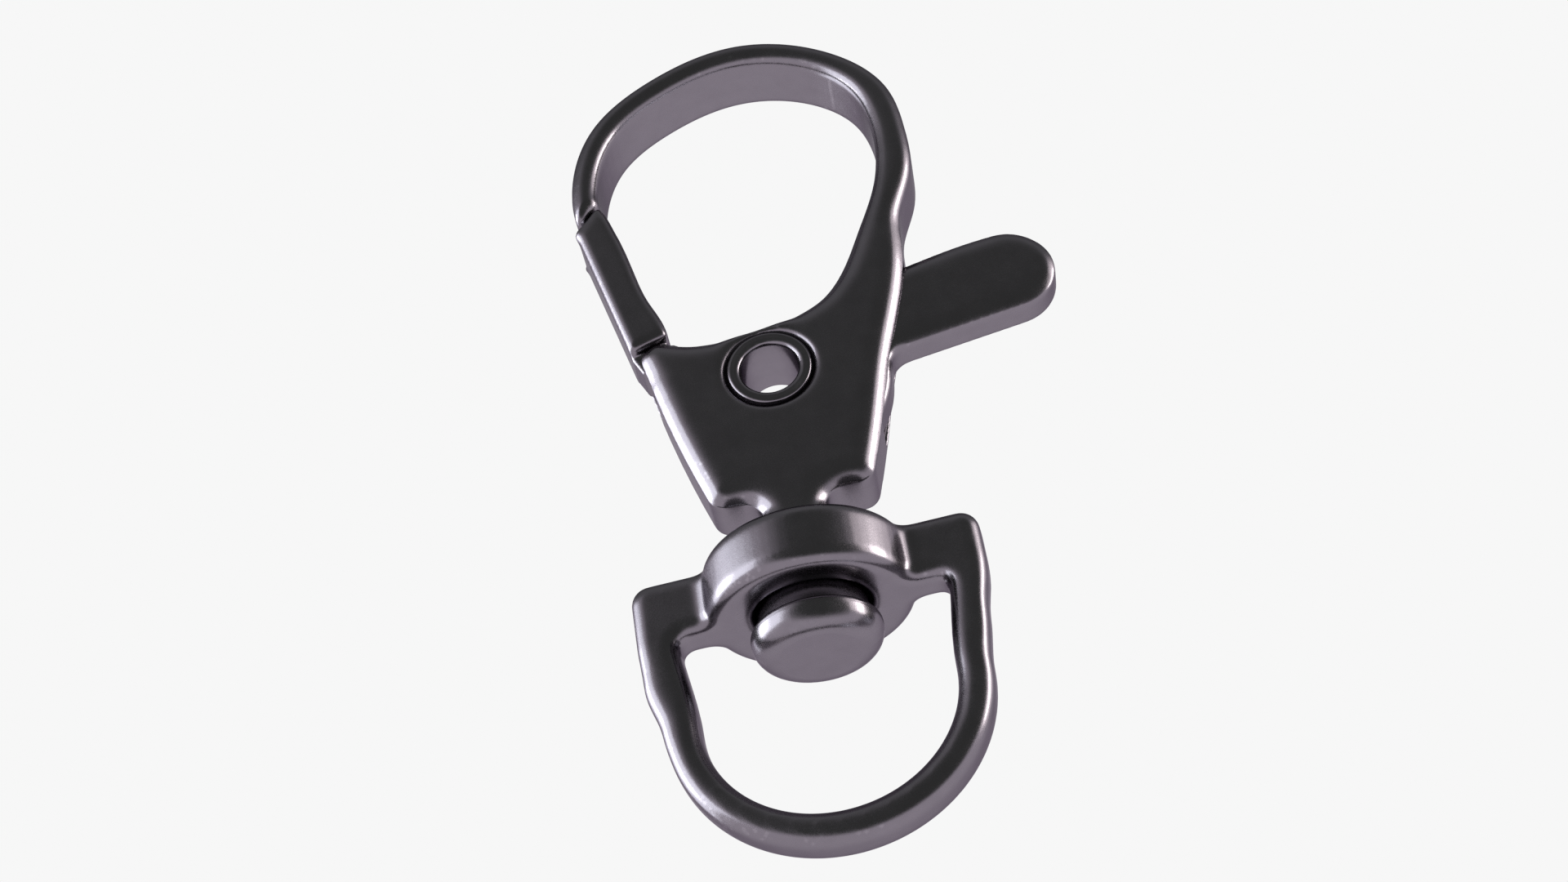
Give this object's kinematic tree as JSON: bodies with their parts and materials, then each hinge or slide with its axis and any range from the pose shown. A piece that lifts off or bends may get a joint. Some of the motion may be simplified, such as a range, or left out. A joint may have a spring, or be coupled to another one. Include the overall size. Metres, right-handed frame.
{
  "type": "swivel trigger snap hook",
  "caption": "Flat cast snap hook with a sprung gate worked by a thumb lever, and a D-shaped strap eye that swivels on a headed stud.",
  "frame": {"origin": "where the gate's pivot axis crosses the swivel axis, in the middle of the body's thickness", "axes": "+Z along the swivel axis towards the hook, +Y along the pivot axis towards the back, +X towards the thumb lever"},
  "size_m": [0.0245, 0.0102, 0.0489],
  "materials": {
    "cast_body": "black nickel plating on a die casting, satin gloss",
    "cast_gate": "black nickel plating on a die casting, satin gloss",
    "cast_eye": "black nickel plating on a die casting, satin gloss",
    "rivet": "black nickel plating on drawn tube, polished",
    "stud": "black nickel plating on a turned stud, satin gloss",
    "spring_wire": "bright drawn spring wire"
  },
  "bodies": {
    "hook": {"hook_body": "cast_body", "pivot_eyelet": "rivet", "return_spring": "spring_wire", "swivel_stud": "stud"},
    "gate": {"gate_lever": "cast_gate"},
    "eye": {"swivel_eye": "cast_eye"}
  },
  "joints": [
    {"name": "gate_pivot", "type": "hinge", "parent": "hook", "child": "gate", "pos_m": [0, 0, 0], "axis": [0, 1, 0], "range_deg": [0, 22], "stiffness_Nm_per_rad": 0.06, "springref_deg": -11.46, "deforming": ["return_spring"]},
    {"name": "swivel", "type": "hinge", "parent": "hook", "child": "eye", "pos_m": [0, 0, -0.012], "axis": [0, 0, 1], "continuous": true}
  ]
}
